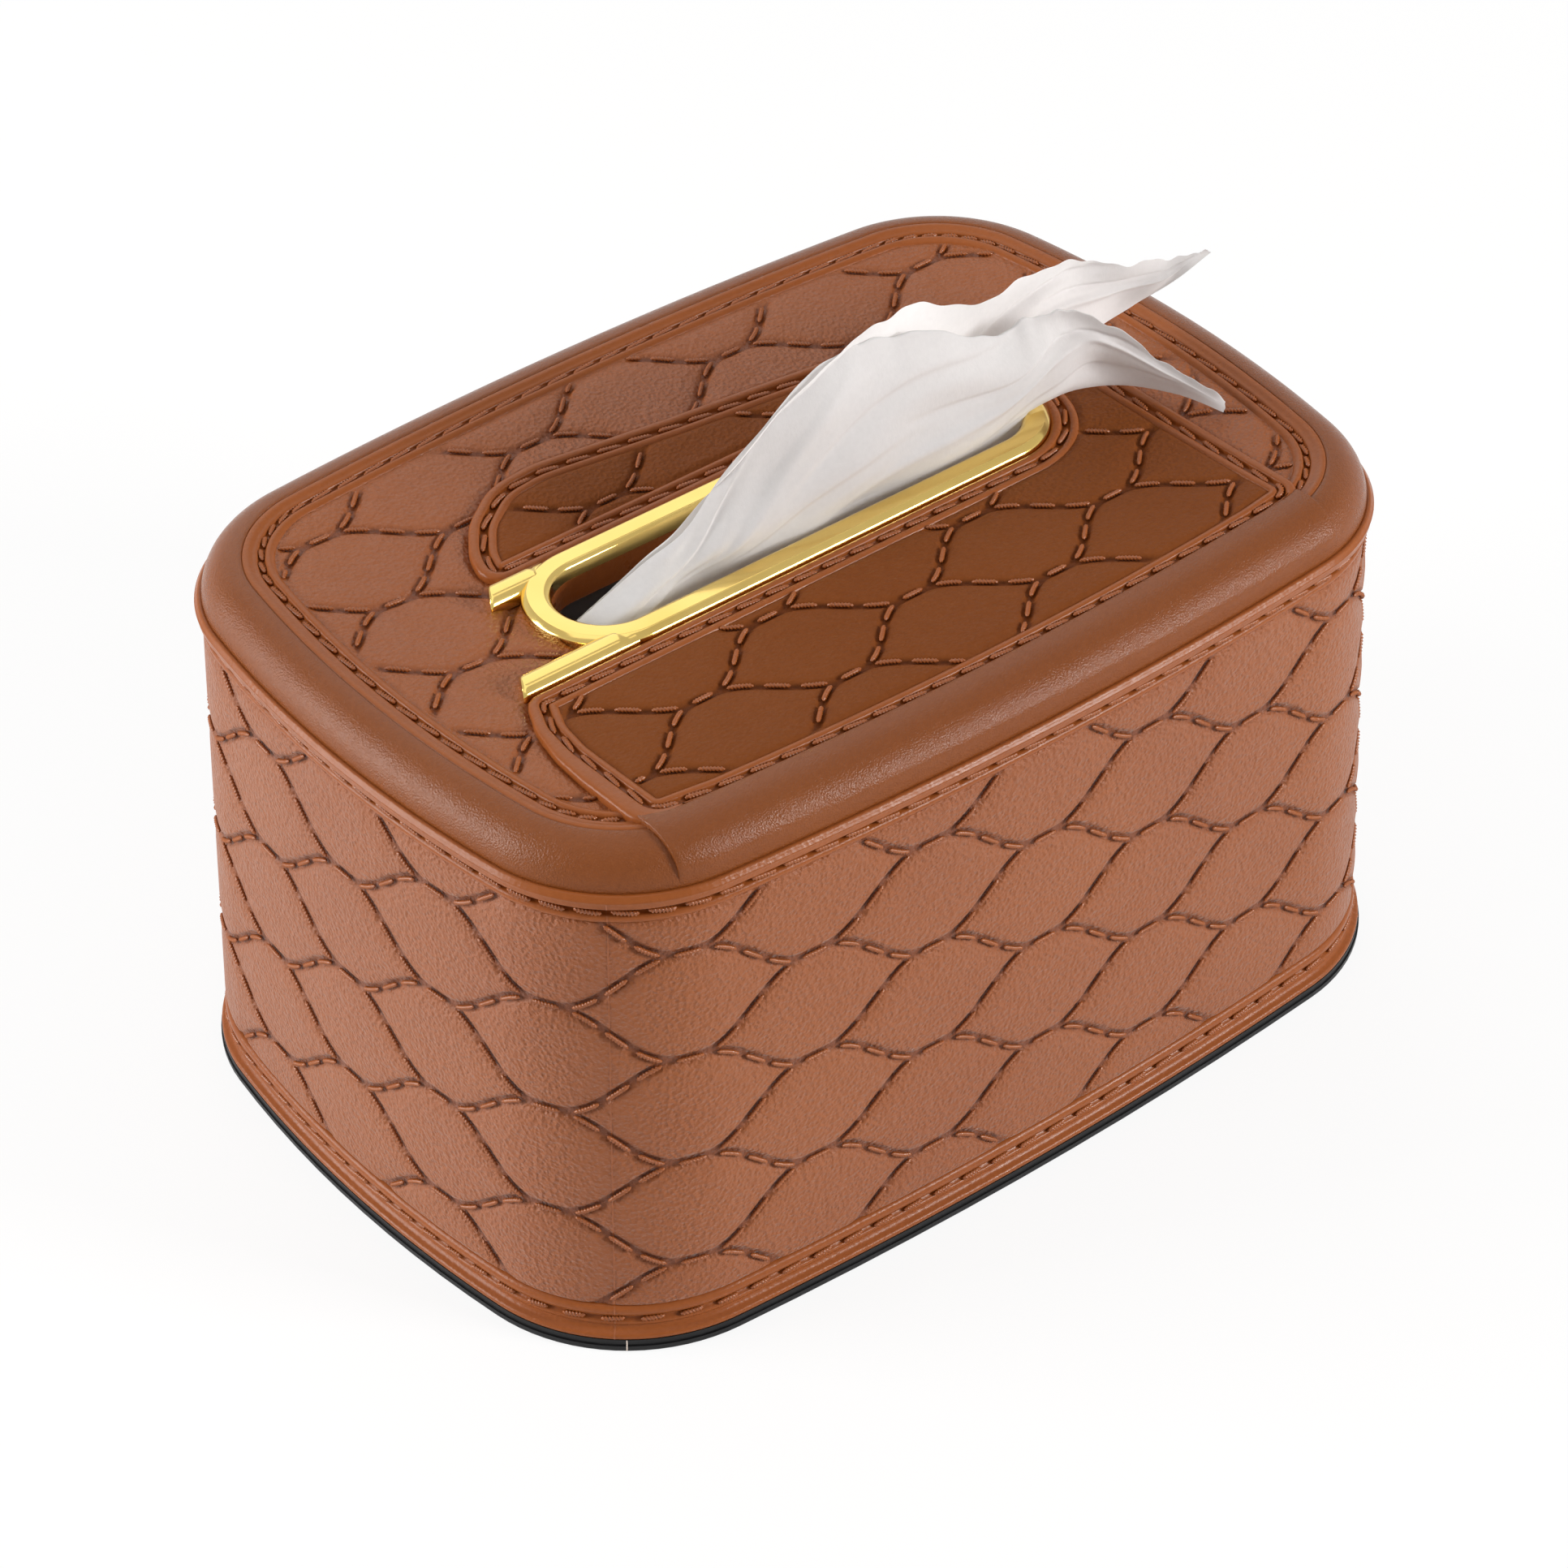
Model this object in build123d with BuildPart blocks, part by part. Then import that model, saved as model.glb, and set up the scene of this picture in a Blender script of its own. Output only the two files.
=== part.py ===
"""Tissue box: a one-piece quilted cover that lifts off a flat base tray.

All sizes are in millimetres.  +Z is up, +X runs along the length, -Y is the
front, and the origin is the middle of the footprint on the standing surface.
"""

import os

from build123d import *

os.makedirs("parts", exist_ok=True)

# ---- plan outlines -----------------------------------------------------------
band_length = 220.0  # band around the top, the widest outline of the upper end
band_width = 155.8
band_corner = 35.0
foot_spread_x = 3.95  # foot flange outside the band, at each end
foot_spread_y = 1.85  # and at the front and back
foot_corner = 38.0
long_side_bow = 7.0  # how far the long sides belly out between their corners
short_side_bow = 11.0
least_corner = 2.0  # a corner drawn in by an inset stays at least this round

# ---- heights -----------------------------------------------------------------
base_top = 2.9  # upper face of the base plate, on which the cover stands
flange_edge = 1.3  # upright edge of the foot flange
flange_flare = 3.0  # height over which the flange runs out into the wall
band_bottom = 108.3
band_height = 2.9
rim_radius = 8.1  # bullnose roll around the top

# ---- cover -------------------------------------------------------------------
wall = 2.2
wall_inset = 1.5  # wall face behind the band and behind the flange's edge
rim_inset = 1.2  # foot of the roll behind the band
panel_border = 10.4  # from the band to the panel inside the roll
panel_border_drop = 0.5  # edge of the panel under the roll's crest
panel_slope = 20.0  # width over which the panel dips to its floor
panel_dip = 2.2
top_thickness = 2.4
ceiling_chamfer = 4.0

# ---- raised front flap -------------------------------------------------------
flap_thickness = 1.1  # over the panel around it
flap_rise = 1.0  # over the roll's crest
flap_foot_rise = 0.3  # over the foot of the roll
flap_left_margin = 26.2  # from the band's left end to the flap's left edge
flap_right_margin = 31.0
flap_bend = 18.0  # the left edge turns towards the trim this far in front of it
flap_shoulder = 1.0  # from the front bar's end to the flap's shoulder
flap_lobe_foot = 8.0  # the back lobe starts this far behind the trim
flap_lobe_run = 17.0  # from there along X to the lobe's top
flap_lobe_length = 20.0
flap_lobe_reach = 27.0  # lobe's top behind the trim
flap_back_reach = 12.7  # flap's back right corner behind the trim
flap_corner = 6.0

# ---- slot and its trim -------------------------------------------------------
slot_shift = 0.5  # slot's middle to the right of the cover's middle
slot_length = 112.5
slot_width = 20.8
collar_wall = 1.0  # lip that turns down around the slot inside the cover
collar_depth = 5.6
trim_band = 6.0  # width of the trim's ring and of its two bars
trim_height = 3.4
trim_bevel = 1.0
trim_lip = 0.1  # how far the ring stands into the slot
trim_clearance = 0.4  # seat around the trim
trim_seat_depth = 0.4  # seat below the panel's floor
front_bar_reach = 30.0  # from the left end's centre to the middle of the bar's end
back_bar_reach = 18.0
bar_end_slant = 3.2  # the bars' ends are cut obliquely by this much
peg_radius = 1.2
peg_clearance = 0.1
peg_head_radius = 1.6
peg_head_height = 0.8
peg_head_gap = 0.05  # between the peg's head and the ceiling
peg_spacing = 30.0
peg_row = 3

# ---- base tray ---------------------------------------------------------------
base_overhang = 0.3  # lower half of the base plate around the foot flange
base_step = 1.5  # height of that lower half
base_edge_round = 0.6
tray_rim_clearance = 0.4  # between the tray's rim and the cover's wall
tray_rim_wall = 1.8
tray_rim_height = 8.0
tongue_count = 3
tongue_spacing = 52.0
tongue_length = 16.0
tongue_height = 17.0

# ---- tissues -----------------------------------------------------------------
stack_length = 190.0
stack_width = 104.0
stack_height = 72.0
stack_round = 5.0
stack_gap = 0.3  # under the stack, and between it and the pulled tissue
tissue_length = 97.0  # pulled tissue where it passes the slot
tissue_thickness = 11.0
tissue_front_gap = 1.3  # from the trim's front edge to the pulled tissue
tissue_root_length = 60.0  # its lower end, on the stack
tissue_root_thickness = 6.0
tissue_rise = 31.3  # top of the pulled tissue above the trim
tissue_lean = 33.0  # how far its top stands to the right of the slot's middle
tissue_wing_height = 12.0  # widest level above the trim
tissue_wing_length = 124.0
tissue_wing_shift = 38.0
tissue_top_length = 30.0
tissue_top_thickness = 3.0

# ---- worked-out places -------------------------------------------------------
foot_length = band_length + 2 * foot_spread_x
foot_width = band_width + 2 * foot_spread_y
flange_top = base_top + flange_edge
wall_foot = flange_top + flange_flare
band_top = band_bottom + band_height
crest = band_top + rim_radius
panel_edge = crest - panel_border_drop
panel_floor = panel_edge - panel_dip
ceiling = panel_floor - top_thickness
cavity_inset = wall_inset + wall

slot_radius = slot_width / 2
slot_reach = slot_length / 2 - slot_radius  # from the slot's middle to its end centres
left_centre = slot_shift - slot_reach
trim_seat = panel_floor - trim_seat_depth
trim_top = trim_seat + trim_height
trim_inner = slot_radius - trim_lip
trim_outer = trim_inner + trim_band
trim_middle = (trim_inner + trim_outer) / 2

peg_xs = [slot_shift + (i - (peg_row - 1) / 2) * peg_spacing for i in range(peg_row)]
peg_places = [(x, side * trim_middle) for x in peg_xs for side in (-1, 1)]
peg_places.append((left_centre - front_bar_reach / 2, -trim_middle))
peg_places.append((left_centre - back_bar_reach / 2, trim_middle))

tray_inset = cavity_inset + tray_rim_clearance
stack_bottom = base_top + stack_gap
stack_top = stack_bottom + stack_height
tissue_y = tissue_front_gap + tissue_thickness / 2 - trim_inner


def bowed_outline(height, length, width, corner, inset):
    """Rectangle with bowed sides and round corners, drawn in by an inset."""
    half_length, half_width = length / 2, width / 2
    long_radius = (half_length**2 + long_side_bow**2) / (2 * long_side_bow)
    short_radius = (half_width**2 + short_side_bow**2) / (2 * short_side_bow)
    with BuildSketch(Plane.XY.offset(height)) as outline:
        with Locations((0, half_width - long_radius)):
            Circle(long_radius - inset)
        with Locations((0, long_radius - half_width)):
            Circle(long_radius - inset, mode=Mode.INTERSECT)
        with Locations((half_length - short_radius, 0)):
            Circle(short_radius - inset, mode=Mode.INTERSECT)
        with Locations((short_radius - half_length, 0)):
            Circle(short_radius - inset, mode=Mode.INTERSECT)
        fillet(outline.vertices(), max(corner - inset, least_corner))
    return outline.sketch


def top_outline(height, inset):
    """Outline of the cover's upper end, drawn in by an inset."""
    return bowed_outline(height, band_length, band_width, band_corner, inset)


def wall_outline(height, inset):
    """Outline of the drafted wall at a height, drawn in by an inset."""
    share = (height - base_top) / (band_bottom - base_top)
    length = foot_length + (band_length - foot_length) * share
    width = foot_width + (band_width - foot_width) * share
    corner = foot_corner + (band_corner - foot_corner) * share
    return bowed_outline(height, length, width, corner, inset)


def slot_outline(height, radius):
    """Stadium around the slot's centre line."""
    with BuildSketch(Plane.XY.offset(height)) as outline:
        with Locations((slot_shift, 0)):
            SlotCenterToCenter(2 * slot_reach, 2 * radius)
    return outline.sketch


def bar_end(side):
    """X of the outer and inner corner of a bar's oblique end."""
    reach = front_bar_reach if side < 0 else back_bar_reach
    middle = left_centre - reach
    return middle + side * bar_end_slant / 2, middle - side * bar_end_slant / 2


def trim_outline(height, margin):
    """Ring around the slot and the two bars that run on past its left end."""
    outer, inner = trim_outer + margin, trim_inner - margin
    with BuildSketch(Plane.XY.offset(height)) as outline:
        with Locations((slot_shift, 0)):
            SlotCenterToCenter(2 * slot_reach, 2 * outer)
        for side in (-1, 1):
            outer_end, inner_end = bar_end(side)
            with BuildLine():
                Polyline(
                    (left_centre, side * inner),
                    (inner_end - margin, side * inner),
                    (outer_end - margin, side * outer),
                    (left_centre, side * outer),
                    close=True,
                )
            make_face()
    return outline.sketch


def flap_outline(height):
    """Flap: square at the front, open between the bars, lobed behind."""
    front = -band_width / 2
    left = flap_left_margin - band_length / 2
    right = band_length / 2 - flap_right_margin
    shoulder_x = bar_end(-1)[0] - flap_shoulder
    ring_left = left_centre - trim_middle
    with BuildSketch(Plane.XY.offset(height)) as outline:
        with BuildLine():
            Polyline(
                (left, front),
                (left, -trim_outer - flap_bend),
                (shoulder_x, -trim_middle),
                (ring_left, -trim_middle),
                (ring_left, trim_outer + flap_lobe_foot),
                (ring_left + flap_lobe_run, trim_outer + flap_lobe_reach),
                (ring_left + flap_lobe_run + flap_lobe_length, trim_outer + flap_lobe_reach),
                (right, trim_outer + flap_back_reach),
                (right, front),
                close=True,
            )
        make_face()
        rows = outline.vertices().group_by(Axis.Y)
        fillet([*rows[1], *rows[3], *rows[4], *rows[5]], flap_corner)
    return outline.sketch


def rolled_top(foot_rise, rise, thickness):
    """Top with its roll and dished panel, each grown outwards by its own amount."""
    edge = panel_edge + thickness
    with BuildPart() as top:
        extrude(top_outline(band_bottom, rim_inset - foot_rise), amount=crest + rise - band_bottom)
        fillet(top.faces().sort_by(Axis.Z)[-1].edges(), rim_radius + rise)
        loft(
            [
                top_outline(panel_floor + thickness, panel_border + panel_slope),
                top_outline(edge, panel_border),
            ],
            ruled=True,
            mode=Mode.SUBTRACT,
        )
        extrude(top_outline(edge, panel_border), amount=rim_radius, mode=Mode.SUBTRACT)
    return top.part


def tissue_section(height, shift, length, thickness):
    """Oval section of the pulled tissue."""
    with BuildSketch(Plane.XY.offset(height)) as section:
        with Locations((slot_shift + shift, tissue_y)):
            Ellipse(length / 2, thickness / 2)
    return section.sketch


# ---- cover -------------------------------------------------------------------
with BuildPart() as flap:
    add(rolled_top(flap_foot_rise, flap_rise, flap_thickness))
    extrude(flap_outline(band_bottom), amount=2 * rim_radius + flap_rise, mode=Mode.INTERSECT)

with BuildPart() as cover:
    extrude(wall_outline(base_top, 0), amount=flange_edge)
    loft([wall_outline(flange_top, 0), wall_outline(wall_foot, wall_inset)], ruled=True)
    loft([wall_outline(wall_foot, wall_inset), wall_outline(band_bottom, wall_inset)], ruled=True)
    extrude(top_outline(band_bottom, 0), amount=band_height)
    add(rolled_top(0, 0, 0))
    add(flap.part)
    extrude(trim_outline(trim_seat, trim_clearance), amount=2 * trim_height, mode=Mode.SUBTRACT)
    # the hollow, with its upper edge chamfered where the roll bends over it
    chamfer_foot = ceiling - ceiling_chamfer
    loft(
        [wall_outline(base_top, cavity_inset), wall_outline(chamfer_foot, cavity_inset)],
        ruled=True,
        mode=Mode.SUBTRACT,
    )
    loft(
        [
            wall_outline(chamfer_foot, cavity_inset),
            wall_outline(ceiling, cavity_inset + ceiling_chamfer),
        ],
        ruled=True,
        mode=Mode.SUBTRACT,
    )
    # collar and slot
    extrude(slot_outline(trim_seat, slot_radius + collar_wall), amount=-collar_depth)
    extrude(slot_outline(trim_seat, slot_radius), amount=-collar_depth, mode=Mode.SUBTRACT)
    # holes for the trim's pegs
    with BuildSketch(Plane.XY.offset(trim_seat)):
        with Locations(*peg_places):
            Circle(peg_radius + peg_clearance)
    extrude(amount=ceiling - trim_seat, mode=Mode.SUBTRACT)
cover.part.label = "cover"
export_step(cover.part, "parts/cover.step")

# ---- plated trim, held by pegs whose heads are melted over the ceiling -------
with BuildPart() as slot_trim:
    extrude(trim_outline(trim_seat, 0), amount=trim_height)
    extrude(slot_outline(trim_seat, trim_inner), amount=trim_height, mode=Mode.SUBTRACT)
    chamfer(slot_trim.faces().sort_by(Axis.Z)[-1].edges(), trim_bevel)
    with BuildSketch(Plane.XY.offset(trim_seat)):
        with Locations(*peg_places):
            Circle(peg_radius)
    extrude(amount=ceiling - peg_head_gap - trim_seat)
    with BuildSketch(Plane.XY.offset(ceiling - peg_head_gap)):
        with Locations(*peg_places):
            Circle(peg_head_radius)
    extrude(amount=-peg_head_height)
slot_trim.part.label = "slot_trim"
export_step(slot_trim.part, "parts/slot_trim.step")

# ---- base tray: plate, rim and tongues inside the cover's wall ---------------
def drafted_ring(low, high):
    """Upright ring that follows the inside of the cover's wall."""
    with BuildPart() as ring:
        loft([wall_outline(low, tray_inset), wall_outline(high, tray_inset)], ruled=True)
        inner_inset = tray_inset + tray_rim_wall
        loft(
            [wall_outline(low, inner_inset), wall_outline(high, inner_inset)],
            ruled=True,
            mode=Mode.SUBTRACT,
        )
    return ring.part


rim_top = base_top + tray_rim_height
with BuildPart() as tray_tongues:
    add(drafted_ring(rim_top, rim_top + tongue_height))
    with BuildSketch(Plane.XY.offset(rim_top)):
        with GridLocations(tongue_spacing, foot_width, tongue_count, 2):
            Rectangle(tongue_length, foot_width / 2)
    extrude(amount=tongue_height, mode=Mode.INTERSECT)

with BuildPart() as base_tray:
    extrude(bowed_outline(0, foot_length, foot_width, foot_corner, -base_overhang), amount=base_step)
    fillet(base_tray.faces().sort_by(Axis.Z)[0].edges(), base_edge_round)
    extrude(wall_outline(base_top, 0), amount=base_step - base_top)
    add(drafted_ring(base_top, rim_top))
    add(tray_tongues.part)
base_tray.part.label = "base_tray"
export_step(base_tray.part, "parts/base_tray.step")

# ---- folded tissues ----------------------------------------------------------
with BuildPart() as tissue_stack:
    with BuildSketch(Plane.XY.offset(stack_bottom)):
        RectangleRounded(stack_length, stack_width, stack_round)
    extrude(amount=stack_height)
tissue_stack.part.label = "tissue_stack"
export_step(tissue_stack.part, "parts/tissue_stack.step")

# ---- tissue pulled half out of the slot --------------------------------------
wing_level = trim_top + tissue_wing_height
with BuildPart() as pulled_tissue:
    loft(
        [
            tissue_section(stack_top + stack_gap, 0, tissue_root_length, tissue_root_thickness),
            tissue_section(trim_top, 0, tissue_length, tissue_thickness),
        ],
        ruled=True,
    )
    loft(
        [
            tissue_section(trim_top, 0, tissue_length, tissue_thickness),
            tissue_section(
                wing_level, tissue_wing_shift, tissue_wing_length, tissue_thickness
            ),
            tissue_section(
                trim_top + tissue_rise, tissue_lean, tissue_top_length, tissue_top_thickness
            ),
        ],
        ruled=True,
    )
pulled_tissue.part.label = "pulled_tissue"
export_step(pulled_tissue.part, "parts/pulled_tissue.step")
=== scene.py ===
"""Quilted tissue box cover with its plated slot trim, base tray and tissues.

Lengths below are in millimetres; meshes are scaled to metres when they are made.
"""

import bmesh
import bpy
import numpy as np
from mathutils import Matrix


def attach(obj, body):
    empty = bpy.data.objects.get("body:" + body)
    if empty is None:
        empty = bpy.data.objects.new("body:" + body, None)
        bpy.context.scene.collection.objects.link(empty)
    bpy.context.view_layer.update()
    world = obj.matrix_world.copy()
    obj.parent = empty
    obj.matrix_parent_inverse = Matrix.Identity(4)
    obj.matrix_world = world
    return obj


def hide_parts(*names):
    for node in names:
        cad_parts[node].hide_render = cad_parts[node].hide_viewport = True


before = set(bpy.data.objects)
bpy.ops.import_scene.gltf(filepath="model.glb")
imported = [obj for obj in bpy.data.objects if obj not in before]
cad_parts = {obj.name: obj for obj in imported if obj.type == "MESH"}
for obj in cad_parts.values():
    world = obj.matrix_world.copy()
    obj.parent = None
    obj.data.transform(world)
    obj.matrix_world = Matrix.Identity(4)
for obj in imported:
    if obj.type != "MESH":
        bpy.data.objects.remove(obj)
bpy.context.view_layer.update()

MM = 0.001
rng = np.random.default_rng(7)

# ---- outline ------------------------------------------------------------------
LONG_BOW, SHORT_BOW = 7.0, 11.0
FOOT_Z, BAND_Z = 2.9, 108.3


class Ring:
    """Outline with bowed sides and round corners, in quarters of three arcs."""

    def __init__(self, half_length, half_width, corner):
        self.long_radius = (half_length**2 + LONG_BOW**2) / (2 * LONG_BOW)
        self.short_radius = (half_width**2 + SHORT_BOW**2) / (2 * SHORT_BOW)
        self.corner = corner
        self.c1 = np.array([0.0, self.long_radius - half_width])
        self.c2 = np.array([half_length - self.short_radius, 0.0])
        self.c = self._corner_centre()
        v1, v2 = self.c - self.c1, self.c - self.c2
        self.t1 = np.arctan2(v1[0], -v1[1])
        self.t2 = np.arctan2(-v2[1], v2[0])

    def _corner_centre(self):
        reach1, reach2 = self.long_radius - self.corner, self.short_radius - self.corner
        step = self.c2 - self.c1
        gap = np.hypot(*step)
        along = (reach1**2 - reach2**2 + gap**2) / (2 * gap)
        across = np.sqrt(reach1**2 - along**2)
        unit = step / gap
        side = np.array([-unit[1], unit[0]])
        found = [self.c1 + unit * along + side * across * s for s in (1, -1)]
        return next(p for p in found if p[0] > 0 > p[1])

    def lengths(self, inset):
        turn = np.pi / 2 - self.t1 - self.t2
        radii = np.array([self.long_radius, self.corner, self.short_radius])
        return (radii - inset) * [self.t1, turn, self.t2]

    def quarter(self, g, inset):
        """Point and outward direction at place g (0 to 3) of the front right quarter."""
        half = np.pi / 2
        turn = half - self.t1 - self.t2
        arc = (g >= 1).astype(int) + (g >= 2)
        angles = [g * self.t1 - half, self.t1 - half + (g - 1) * turn, -self.t2 * (3 - g)]
        a = np.choose(arc, angles)
        cx, cy = (np.choose(arc, pick) for pick in zip(self.c1, self.c, self.c2))
        r = np.choose(arc, [self.long_radius, self.corner, self.short_radius])
        nx, ny = np.cos(a), np.sin(a)
        return cx + (r - inset) * nx, cy + (r - inset) * ny, nx, ny

    def inset_of(self, x, y):
        """How far inside the outline a point of the plan lies."""
        x, y = np.abs(x), -np.abs(y)
        d1 = np.hypot(x - self.c1[0], y - self.c1[1])
        d2 = np.hypot(x - self.c2[0], y - self.c2[1])
        dc = np.hypot(x - self.c[0], y - self.c[1])
        a1 = np.arctan2(x - self.c1[0], self.c1[1] - y)
        a2 = np.arctan2(self.c2[1] - y, x - self.c2[0])
        beyond_long = np.where(a2 < self.t2, self.short_radius - d2, self.corner - dc)
        return np.where(a1 < self.t1, self.long_radius - d1, beyond_long)


TOP = Ring(110.0, 77.9, 35.0)
FOOT = Ring(113.95, 79.75, 38.0)
MIDDLE = Ring(111.975, 78.825, 36.5)
QUARTER_STEPS = np.concatenate([[0.0], np.cumsum(MIDDLE.lengths(1.5))])
QUARTER = QUARTER_STEPS[-1]
GIRTH = 4 * QUARTER


def fold(w):
    """Place in the quarter and its mirroring signs, at a distance w from the front's middle."""
    w = np.mod(w, GIRTH)
    q = (w // QUARTER).astype(int) % 4
    f = np.choose(q, [w, 2 * QUARTER - w, w - 2 * QUARTER, GIRTH - w])
    sx = np.choose(q, [1, 1, -1, -1])
    sy = np.choose(q, [1, -1, -1, 1])
    return np.interp(f, QUARTER_STEPS, [0, 1, 2, 3]), sx, sy


def wall_point(w, z, inset):
    """Point of the drafted wall, and its outward direction in plan."""
    w, z, inset = np.broadcast_arrays(np.asarray(w, float), z, inset)
    g, sx, sy = fold(w)
    share = np.clip((z - FOOT_Z) / (BAND_Z - FOOT_Z), None, 1.0)
    x1, y1, nx, ny = TOP.quarter(g, inset)
    x0, y0, _, _ = FOOT.quarter(g, inset)
    x = (x0 + (x1 - x0) * share) * sx
    y = (y0 + (y1 - y0) * share) * sy
    return np.stack([x, y, z], -1), np.stack([nx * sx, ny * sy, 0 * nx], -1)


def smooth(t):
    t = np.clip(t, 0.0, 1.0)
    return t * t * (3 - 2 * t)


# ---- quilting -----------------------------------------------------------------
class Quilt:
    """Ogee quilting: pairs of waves that meet at every junction."""

    flat = 2.4
    groove = 1.3
    depth = 0.55
    puff = 0.42
    puff_width = 5.5
    gap = 1.9

    def __init__(self, wavelength, row, u0, v0, fork, link):
        """Fork and link: where the waves' stitches and the junction's own stitch end."""
        self.half = wavelength / 2
        self.row = row
        self.u0, self.v0 = u0, v0
        self.fork, self.link = fork, link

    def wave(self, u):
        a = np.abs(np.mod(u - self.u0 + self.half, 2 * self.half) - self.half)
        run = self.half - 2 * self.flat
        t = np.clip((a - self.flat) / run, 0, 1)
        return np.cos(np.pi * t), np.sin(np.pi * t) * np.pi / run

    def distance(self, u, v):
        s, slope = self.wave(u)
        amp = self.row / 4
        even = np.mod(v - self.v0 + amp - amp * s + self.row / 2, self.row) - self.row / 2
        odd = np.mod(v - self.v0 - amp + amp * s + self.row / 2, self.row) - self.row / 2
        return np.minimum(np.abs(even), np.abs(odd)) / np.sqrt(1 + (amp * slope) ** 2)

    def height(self, u, v):
        d = self.distance(u, v)
        cut = self.depth * smooth((self.groove - d) / 0.6)
        t = np.clip((d - 0.8) / self.puff_width, 0, 1)
        return self.puff * t * (2 - t) - cut

    def seams(self, u_range, v_range):
        """Centre lines of the cord's visible stitches, as arrays of points in u, v."""
        found = []
        amp = self.row / 4
        first = int(np.floor((u_range[0] - self.u0) / self.half)) - 1
        last = int(np.ceil((u_range[1] - self.u0) / self.half)) + 1
        low = int(np.floor((v_range[0] - self.v0) / self.row)) - 1
        high = int(np.ceil((v_range[1] - self.v0) / self.row)) + 1
        for i in range(first, last + 1):
            u = self.u0 + i * self.half
            for j in range(low, high + 1):
                v = self.v0 + self.row * (j + (0.5 if i % 2 else 0.0))
                found.append(line_of((u - self.link, v), (u + self.link, v)))
                # each junction sends one wave up and one down towards the next column
                a = np.linspace(self.fork, self.half - self.fork, 60)
                s, _ = self.wave(self.u0 + a)
                rise = amp * (1 - s)
                for side in (1, -1):
                    path = np.stack([u + a, v + side * rise], -1)
                    found.extend(stitches(path, 3, self.gap))
        return found


STITCH_POINTS = 25


def line_of(start, end):
    return np.linspace(np.array(start, float), np.array(end, float), STITCH_POINTS)


def walk(path, at, values=None):
    """The path's points, or values given at them, at distances along the path."""
    values = path if values is None else values
    step = np.linalg.norm(np.diff(path, axis=0), axis=1)
    run = np.concatenate([[0.0], np.cumsum(step)])
    return np.stack([np.interp(at, run, column) for column in values.T], -1)


def length_of(path):
    return float(np.sum(np.linalg.norm(np.diff(path, axis=0), axis=1)))


def stitches(path, count, gap):
    """Divides a path into stitches with a gap after each."""
    pitch = (length_of(path) + gap) / count
    return [
        walk(path, np.linspace(i * pitch, (i + 1) * pitch - gap, STITCH_POINTS))
        for i in range(count)
    ]


# ---- mesh helpers -------------------------------------------------------------
def grid_faces(rows, cols, closed=False):
    """Quads of a grid of rows by cols points; closed joins the last column to the first."""
    span = cols if closed else cols - 1
    r, c = np.meshgrid(np.arange(rows - 1), np.arange(span), indexing="ij")
    nxt = (c + 1) % cols
    quads = [r * cols + c, r * cols + nxt, (r + 1) * cols + nxt, (r + 1) * cols + c]
    return np.stack(quads, -1).reshape(-1, 4)


def new_object(name, data):
    obj = bpy.data.objects.new(name, data)
    bpy.context.scene.collection.objects.link(obj)
    return obj


def piece(name, verts, faces, body, slot, material, node=None, auto=None):
    """Makes one piece of the object; verts in millimetres."""
    mesh = bpy.data.meshes.new(name)
    mesh.from_pydata((np.asarray(verts, float).reshape(-1, 3) * MM).tolist(), [], faces)
    mesh.polygons.foreach_set("use_smooth", [True] * len(mesh.polygons))
    mesh.materials.append(material)
    mesh.update()
    if auto is not None:
        mesh.set_sharp_from_angle(angle=np.radians(auto))
    obj = new_object(name, mesh)
    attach(obj, body)
    if node:
        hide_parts(node)
    return obj


def paint_groove_shade(obj, distance):
    """Stores how close each point lies to a seam, for the painted shade that darkens the grooves.
    """
    near = 1 - smooth((np.ravel(distance) - 0.3) / 0.9)
    layer = obj.data.attributes.new("groove_shade", "FLOAT", "POINT")
    layer.data.foreach_set("value", near.astype(np.float32))


def grid_piece(name, points, closed, *args, flip=False, **kwargs):
    rows, cols = points.shape[:2]
    faces = grid_faces(rows, cols, closed)
    if flip:
        faces = faces[:, ::-1]
    return piece(name, points, faces.tolist(), *args, **kwargs)


def on_cover(material):
    """Body, slot, material and replaced node of a piece of the cover's moulding."""
    return "cover", "cover_plastic", material, "cover"


def at_height(plan, z):
    """Points of the plan raised to a height, or each to its own."""
    return np.column_stack([plan, np.broadcast_to(z, len(plan))])


def upward(points):
    """Upward normals for a line of points."""
    return np.tile([0.0, 0.0, 1.0], (len(points), 1))


ROPE_SIDES = 8
ROPE_RADIUS = 0.64
SEAM_RADIUS = 0.52
ROPE_TWIST = 2 * np.pi / 1.35
ROPE_STEP, ROPE_TAPER = 0.15, 1.1


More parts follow.
